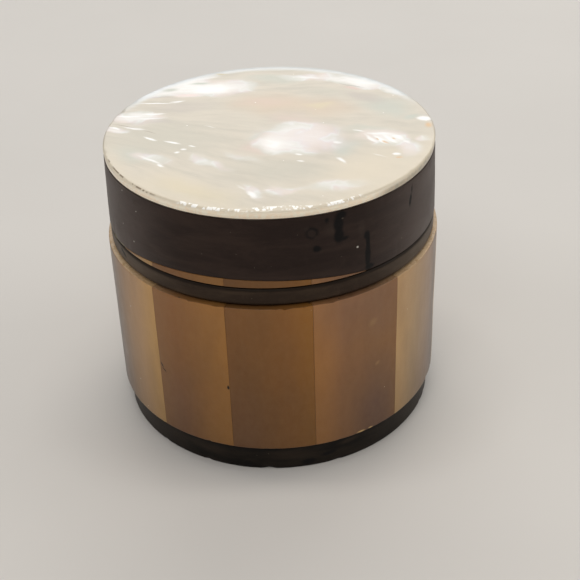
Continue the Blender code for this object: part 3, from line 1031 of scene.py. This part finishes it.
def edge_loss(place, height, edges, reach, depth, seed):
    """How far small chips eat into an edge: edges are heights, and reach is how far chips go."""
    nearest = min(abs(height - edge) for edge in edges)
    if nearest > reach:
        return 0.0
    return depth * pitting(place, 1.1 * MM, least=0.25, seed=seed) * (1.0 - nearest / reach)


def build_foot():
    radius = max(radii_of("foot_disc"))
    top = top_of("foot_disc")
    corners = ((0.0, top), (radius, top), (radius, 0.0), (0.0, 0.0))

    def move(place, across, height):
        loss = edge_loss(place, height, (0.0, top), reach=0.7 * MM, depth=0.6 * MM, seed=3.0)
        swell = 0.03 * MM * wave(place, 9 * MM)
        return nearness(radius - across, 1.0 * MM) * (swell - loss), 0.0

    outline = open_outline(corners, radius=0.35 * MM, spacing=0.5 * MM)
    finish_mesh("foot", turned_solid(worn(outline, move)), foot_horn(), "box", ["foot_disc"])


def build_core():
    """The turned wooden cup, with a lead on the spigot and a shallow decorative groove."""
    outer = max(radii_of("body_core"))
    bottom, top = span_of("body_core")
    lead = 0.4 * MM
    groove = 0.12 * MM
    groove_height = top - 1.4 * MM
    corners = (
        (0.0, CUP_FLOOR),
        (CUP_RADIUS, CUP_FLOOR),
        (CUP_RADIUS, top),
        (SPIGOT_RADIUS - lead, top),
        (SPIGOT_RADIUS, top - lead),
        (SPIGOT_RADIUS, groove_height + groove),
        (SPIGOT_RADIUS - groove, groove_height),
        (SPIGOT_RADIUS, groove_height - groove),
        (SPIGOT_RADIUS, STAVE_TOP),
        (outer, STAVE_TOP),
        (outer, bottom),
        (0.0, bottom),
    )

    def move(place, across, height):
        dent = pitting(place, 1.4 * MM, least=0.3, seed=8.0)
        return 0.0, -0.25 * MM * nearness(top - height, 0.6 * MM) * dent

    outline = open_outline(corners, radius=0.15 * MM, spacing=0.6 * MM)
    finish_mesh("core", turned_solid(worn(outline, move)), core_wood(), "box", ["body_core"])


def build_neck():
    outer = max(radii_of("neck_ring"))
    low, high = span_of("neck_ring")
    corners = ((NECK_INNER, low), (NECK_INNER, high), (outer, high), (outer, low))

    def move(place, across, height):
        loss = edge_loss(place, height, (low, high), reach=0.5 * MM, depth=0.25 * MM, seed=6.0)
        swell = 0.02 * MM * wave(place, 6 * MM, 5.0)
        return nearness(outer - across, 0.8 * MM) * (swell - loss), 0.0

    outline = closed_outline(corners, radius=0.45 * MM, spacing=0.35 * MM)
    finish_mesh("neck", turned_ring(worn(outline, move)), neck_horn(), "box", ["neck_ring"])


def add_place(piece, angles, heights):
    """Store how far each vertex is across and up its stave, from 0 to 1 and beyond it on the lid."""
    start, end = angles
    low, high = heights
    middle = (start + end) / 2
    attribute = piece.data.attributes.new("place", "FLOAT_VECTOR", "POINT")
    for vertex, item in zip(piece.data.vertices, attribute.data):
        offset = (heading(vertex.co) - middle + 180.0) % 360.0 - 180.0
        item.vector = (0.5 + offset / (end - start), (vertex.co.z - low) / (high - low), 0.0)


def build_staves(shells):
    fill = math.degrees(JOINT_FILL / SHELL_RADIUS)
    for seed, node in enumerate(STAVES, 10):
        start, end = angles_of(node)
        start -= fill
        end += fill
        low, high = span_of(node)
        corners = ((STAVE_INNER, low), (STAVE_INNER, high), (SHELL_RADIUS, high), (SHELL_RADIUS, low))

        def move(place, across, height):
            near_wall = nearness(SHELL_RADIUS - across, 0.6 * MM)
            swell = 0.035 * MM * wave(place, 7 * MM, seed)
            chip = 0.4 * MM * pitting(place, 0.9 * MM, least=0.35, seed=seed + 4.0)
            chip *= nearness(height - low, 0.4 * MM)
            pit = 0.35 * MM * pitting(place, 0.7 * MM, least=0.3, seed=seed)
            pit *= nearness(high - height, 0.5 * MM)
            return near_wall * (swell - chip), -pit

        outline = closed_outline(corners, radius=0.16 * MM, spacing=0.45 * MM)
        solid = swept(worn(outline, move), steps_between(start, end, step=0.7), end_inset=0.02 * MM)
        name = node.replace("shell_stave", "pearl_stave")
        piece = finish_mesh(name, solid, shells[node[-2:]], "box", [node])
        add_place(piece, (start, end), (low, high))


def build_cake():
    """The poured rosin, with a shallow track worn across its top by the bow hair."""
    low, high = span_of("rosin_cake")
    radius = max(radii_of("rosin_cake"))
    corners = ((0.0, low), (radius, low), (radius, high - 0.3 * MM), (radius - 0.9 * MM, high), (0.0, high))
    track_width = 7.0 * MM
    track_depth = 0.7 * MM

    def move(place, across, height):
        drop = math.exp(-((place.y / track_width) ** 2)) * track_depth
        if abs(place.y) < track_width:
            drop += 0.03 * MM * wave(Vector((place.x * 0.08, place.y, 0.0)), 0.8 * MM, 2.0)
        drop += 0.06 * MM * abs(wave(place, 6 * MM, 7.0))
        return 0.0, -nearness(high - height, 1.5 * MM) * drop

    outline = open_outline(corners, radius=0.6 * MM, spacing=0.45 * MM)
    finish_mesh("rosin", turned_solid(worn(outline, move)), rosin(), "box", ["rosin_cake"])


def crescent_plane():
    """Coefficients a, b, c of z = a x + b y + c for the skew cut on top of the slivers."""
    tops = [p for node in SLIVERS for p in corners_of(node) if p.z > LID_BOTTOM + 0.01 * MM]
    places = np.array([(p.x, p.y, 1.0) for p in tops])
    heights = np.array([p.z for p in tops])
    return np.linalg.lstsq(places, heights, rcond=None)[0]


def crescent_height(radius, angle, plane):
    """How far the skew cut stands above the lid's rim."""
    place = point_at(radius, angle, 0.0)
    return plane[0] * place.x + plane[1] * place.y + plane[2] - LID_BOTTOM


def lid_wall(height):
    """Radius of the lid's outer wall: upright along the rim, then tapering to the top."""
    rise = max(0.0, (height - LID_RIM_TOP) / (LID_TOP - LID_RIM_TOP))
    return LID_RIM_RADIUS + (LID_TOP_RADIUS - LID_RIM_RADIUS) * rise


def lid_corners(inner, lip):
    """Half section of the lid, with the step in its rim that the crescent of shell fills."""
    corners = [
        (0.0, LID_CEILING),
        (LID_BORE, LID_CEILING),
        (LID_BORE, LID_BOTTOM),
        (inner, LID_BOTTOM),
        (inner, lip),
        (LID_RIM_RADIUS, lip),
    ]
    for share in (0.2, 0.4, 0.6, 0.8):
        height = LID_RIM_TOP + (LID_TOP - LID_RIM_TOP) * share
        corners.append((lid_wall(height), height))
    return corners + [(LID_TOP_RADIUS, LID_TOP), (LID_TOP_RADIUS - 2.0 * MM, LID_TOP), (0.0, LID_TOP)]


def build_lid_body(plane):
    glue_line = 0.04 * MM
    least = 0.05 * MM
    full_depth = LID_RIM_RADIUS - SLIVER_INNER + SEAT_GAP

    def outline_at(angle):
        cut = crescent_height(LID_RIM_RADIUS, angle, plane) + glue_line
        inner = LID_RIM_RADIUS - max(least, min(1.0, cut / SEAT_GAP) * full_depth)
        lip = LID_BOTTOM + max(least, cut)

        def move(place, across, height):
            loss = edge_loss(place, height, (lip, LID_TOP), reach=0.3 * MM, depth=0.2 * MM, seed=12.0)
            swell = 0.03 * MM * wave(place, 10 * MM, 9.0)
            return nearness(lid_wall(height) - across, 0.6 * MM) * (swell - loss), 0.0

        outline = open_outline(lid_corners(inner, lip), radius=0.12 * MM, steps=3)
        return worn(outline, move)(angle)

    solid = turned_solid(outline_at, 2 * TURN_SEGMENTS)
    finish_mesh("lid_cap", solid, lid_horn(), "lid", ["lid_body"])


def build_slivers(shells, plane):
    """The crescent of shell. Its two outer slivers run on until they are as thin as can be."""
    fill = math.degrees(JOINT_FILL / LID_RIM_RADIUS)
    thinnest = 0.03 * MM
    run_on = 0.25

    def outline_at(angle):
        outside = LID_BOTTOM + max(thinnest, crescent_height(LID_RIM_RADIUS, angle, plane))
        inside = LID_BOTTOM + max(thinnest, crescent_height(SLIVER_INNER, angle, plane))
        corners = (
            (SLIVER_INNER, LID_BOTTOM),
            (SLIVER_INNER, inside),
            (LID_RIM_RADIUS, outside),
            (LID_RIM_RADIUS, LID_BOTTOM),
        )
        return closed_outline(corners, radius=0.08 * MM)

    for node in SLIVERS:
        start, end = angles_of(node)
        start -= fill
        end += fill
        while node == SLIVERS[0] and crescent_height(LID_RIM_RADIUS, start, plane) > thinnest:
            start -= run_on
        while node == SLIVERS[-1] and crescent_height(LID_RIM_RADIUS, end, plane) > thinnest:
            end += run_on
        solid = swept(outline_at, steps_between(start, end, step=0.5), end_inset=0.01 * MM)
        name = node.replace("lid_sliver", "pearl_sliver")
        piece = finish_mesh(name, solid, shells[node[-2:]], "lid", [node])
        stave = f"shell_stave_{node[-2:]}"
        add_place(piece, angles_of(stave), span_of(stave))


def build_plate():
    """The thin pearl disc. Its edge is worn round, most at the front, with tiny facets in the wear."""
    low, high = span_of("lid_plate")
    arc_steps = 14
    top_steps = 34
    worn_to = 75.0
    worn_fade = 30.0
    random.seed(4)

    def outline_at(angle):
        from_front = abs((angle + 180.0) % 360.0 - 180.0)
        wear = max(0.0, min(1.0, (worn_to - from_front) / worn_fade))
        width = (0.25 + 0.33 * wear) * MM
        fall = (0.20 + 0.44 * wear) * MM
        flat_radius = PLATE_RADIUS - width
        upper = []
        for step in range(arc_steps + 1):
            turn = math.pi / 2 * (1.0 - step / arc_steps)
            across = flat_radius + width * math.sin(turn)
            height = high - fall * (1.0 - math.cos(turn))
            chip = 0.25 * MM * pitting(point_at(across, angle, height), 1.3 * MM, least=0.35, seed=3.0)
            facet = abs(random.uniform(-1.0, 1.0)) * 0.030 * MM
            upper.append(Vector((across, height - math.sin(2.0 * turn) * (facet + chip))))
        for step in range(1, top_steps + 1):
            upper.append(Vector((flat_radius * (1.0 - step / top_steps), high)))
        for point in upper:
            point.y -= 0.012 * MM * (1.0 + wave(point_at(point.x, angle, point.y), 5 * MM, 1.0))
        lower_arris = PLATE_RADIUS - 0.05 * MM
        return [Vector((across, low)) for across in (0.0, flat_radius, lower_arris)] + upper

    solid = turned_solid(outline_at, 2 * TURN_SEGMENTS)
    finish_mesh("pearl_plate", solid, plate_pearl(), "lid", ["lid_plate"])


def build_plate_glue():
    """The dark line of old glue that fills the gap under the pearl plate."""
    overlap = 0.02 * MM
    low = top_of("lid_body") - overlap
    high = bottom_of("lid_plate") + overlap
    inner = PLATE_RADIUS - 2.0 * MM
    set_back = 0.12 * MM
    bead_width = 0.05 * MM

    def outline_at(angle):
        bulge = 0.10 * MM * wave(point_at(PLATE_RADIUS, angle, low), 1.6 * MM, 2.0) - set_back
        outer = PLATE_RADIUS + bulge
        bead = (outer + bead_width, (low + high) / 2)
        return [Vector(p) for p in ((inner, low), (inner, high), (outer, high), bead, (outer, low))]

    finish_mesh("plate_glue", turned_ring(outline_at), glue(), "lid", [])


# ---------------------------------------------------------------- camera, light and floor

CAMERA_TARGET = Vector((2.04, 0.0, 14.42)) * MM
CAMERA_DISTANCE = 170.1 * MM
CAMERA_ELEVATION = 33.25
CAMERA_LENS = 73.64
CAMERA_ROLL = -2.0

# Name, angle round from the front, elevation, distance, size, power and colour
SOFTBOXES = (
    ("back_softbox", 172.0, 40.0, 0.60, (0.60, 0.40), 1.35, (1.0, 0.98, 0.95)),
    ("overhead_lamp", 180.0, 86.0, 0.60, (0.40, 0.05), 0.9, (1.0, 0.96, 0.90)),
    ("left_softbox", -80.0, 35.0, 0.55, (0.30, 0.30), 0.28, (0.97, 0.96, 1.0)),
    ("right_softbox", 85.0, 30.0, 0.55, (0.30, 0.30), 0.60, (1.0, 0.97, 0.93)),
    ("front_softbox", -10.0, 50.0, 0.70, (0.40, 0.25), 0.9, (1.0, 0.95, 0.88)),
)
ROOM_COLOUR = (0.90, 0.90, 0.92, 1.0)
ROOM_STRENGTH = 0.35

FLOOR_SIZE = 3.0
BACKDROP_START = 0.42
BACKDROP_BEND = 0.30
BACKDROP_HEIGHT = 0.9
BACKDROP_BEND_STEPS = 16
BACKDROP_TURN_STEP = 3
BACKDROP_GLOW = 0.42


def look_at(place, target):
    turn = (target - place).to_track_quat("-Z", "Y").to_matrix().to_4x4()
    return Matrix.Translation(place) @ turn


def around(azimuth, elevation, distance, centre):
    """A place seen from the centre at an angle round from the front and an angle up."""
    flat = distance * math.cos(math.radians(elevation))
    return centre + point_at(flat, azimuth, distance * math.sin(math.radians(elevation)))


def add_object(name, data):
    thing = bpy.data.objects.new(name, data)
    bpy.context.scene.collection.objects.link(thing)
    return thing


def build_camera():
    data = bpy.data.cameras.new("camera")
    data.lens = CAMERA_LENS
    data.clip_start = 0.01
    camera = add_object("camera", data)
    place = around(0.0, CAMERA_ELEVATION, CAMERA_DISTANCE, CAMERA_TARGET)
    camera.matrix_world = look_at(place, CAMERA_TARGET) @ Matrix.Rotation(math.radians(CAMERA_ROLL), 4, "Z")
    bpy.context.scene.camera = camera


def build_light():
    centre = Vector((0.0, 0.0, top_of("lid_plate") / 2))
    for name, azimuth, elevation, distance, size, power, colour in SOFTBOXES:
        data = bpy.data.lights.new(name, "AREA")
        data.shape = "RECTANGLE"
        data.size = size[0]
        data.size_y = size[1]
        data.energy = power
        data.color = colour
        softbox = add_object(name, data)
        softbox.matrix_world = look_at(around(azimuth, elevation, distance, centre), centre)
    world = bpy.data.worlds.new("studio")
    world.use_nodes = True
    background = world.node_tree.nodes["Background"]
    background.inputs["Color"].default_value = ROOM_COLOUR
    background.inputs["Strength"].default_value = ROOM_STRENGTH
    bpy.context.scene.world = world
    bpy.context.scene.view_settings.view_transform = "Standard"


def floor_paint(name):
    g = Graph(name)
    tone = g.noise(g.place(), 0.02, 3.0)
    g.set(Base_Color=g.mix(tone, lit(206, 203, 198), lit(214, 211, 206)), Roughness=0.85)
    return g


def build_floor():
    bpy.ops.mesh.primitive_grid_add(x_subdivisions=8, y_subdivisions=8, size=FLOOR_SIZE)
    floor = bpy.context.object
    floor.name = "floor"
    floor.data.materials.append(floor_paint("floor").material)


def build_backdrop():
    """A pale sheet that rises from the floor into a wall all round, so that no horizon shows.

    Only the camera sees it: the object's light and reflections are those of the bare floor. The
    wall glows a little, to match the lit floor.
    """
    bend_end = BACKDROP_START + BACKDROP_BEND
    profile = [Vector((BACKDROP_START, 0.0))]
    for step in range(1, BACKDROP_BEND_STEPS + 1):
        turn = math.radians(90.0 * step / BACKDROP_BEND_STEPS)
        out = BACKDROP_START + BACKDROP_BEND * math.sin(turn)
        profile.append(Vector((out, BACKDROP_BEND * (1.0 - math.cos(turn)))))
    profile.append(Vector((bend_end, BACKDROP_HEIGHT)))
    sheet = bmesh.new()
    rings = [add_ring(sheet, profile, angle) for angle in range(0, 360, BACKDROP_TURN_STEP)]
    for index, ring in enumerate(rings):
        before = rings[index - 1]
        for k in range(len(ring) - 1):
            sheet.faces.new((before[k], ring[k], ring[k + 1], before[k + 1]))
    mesh = bpy.data.meshes.new("backdrop")
    sheet.to_mesh(mesh)
    sheet.free()
    mesh.shade_smooth()
    g = floor_paint("backdrop")
    radius = g.length(g.flat(g.place()))
    glow = g.times(g.fade(radius, BACKDROP_START / MM, bend_end / MM), BACKDROP_GLOW)
    g.set(Emission_Color=lit(210, 207, 202), Emission_Strength=glow)
    mesh.materials.append(g.material)
    backdrop = add_object("backdrop", mesh)
    backdrop.visible_diffuse = False
    backdrop.visible_glossy = False
    backdrop.visible_transmission = False
    backdrop.visible_shadow = False


# ---------------------------------------------------------------- the whole

def build():
    shells = {}
    for node, figure in zip(STAVES, STAVE_FIGURES):
        start, end = angles_of(node)
        marks = [mark for mark in STAVE_MARKS if 0.0 < (mark[0] - start) % 360.0 < end - start]
        name = node.replace("shell_stave", "shell")
        shells[node[-2:]] = stave_pearl(name, figure, marks, int(node[-2:]))
    build_foot()
    build_core()
    build_neck()
    build_staves(shells)
    build_cake()
    plane = crescent_plane()
    build_lid_body(plane)
    build_slivers(shells, plane)
    build_plate()
    build_plate_glue()
    build_floor()
    build_backdrop()
    build_light()
    build_camera()


build()
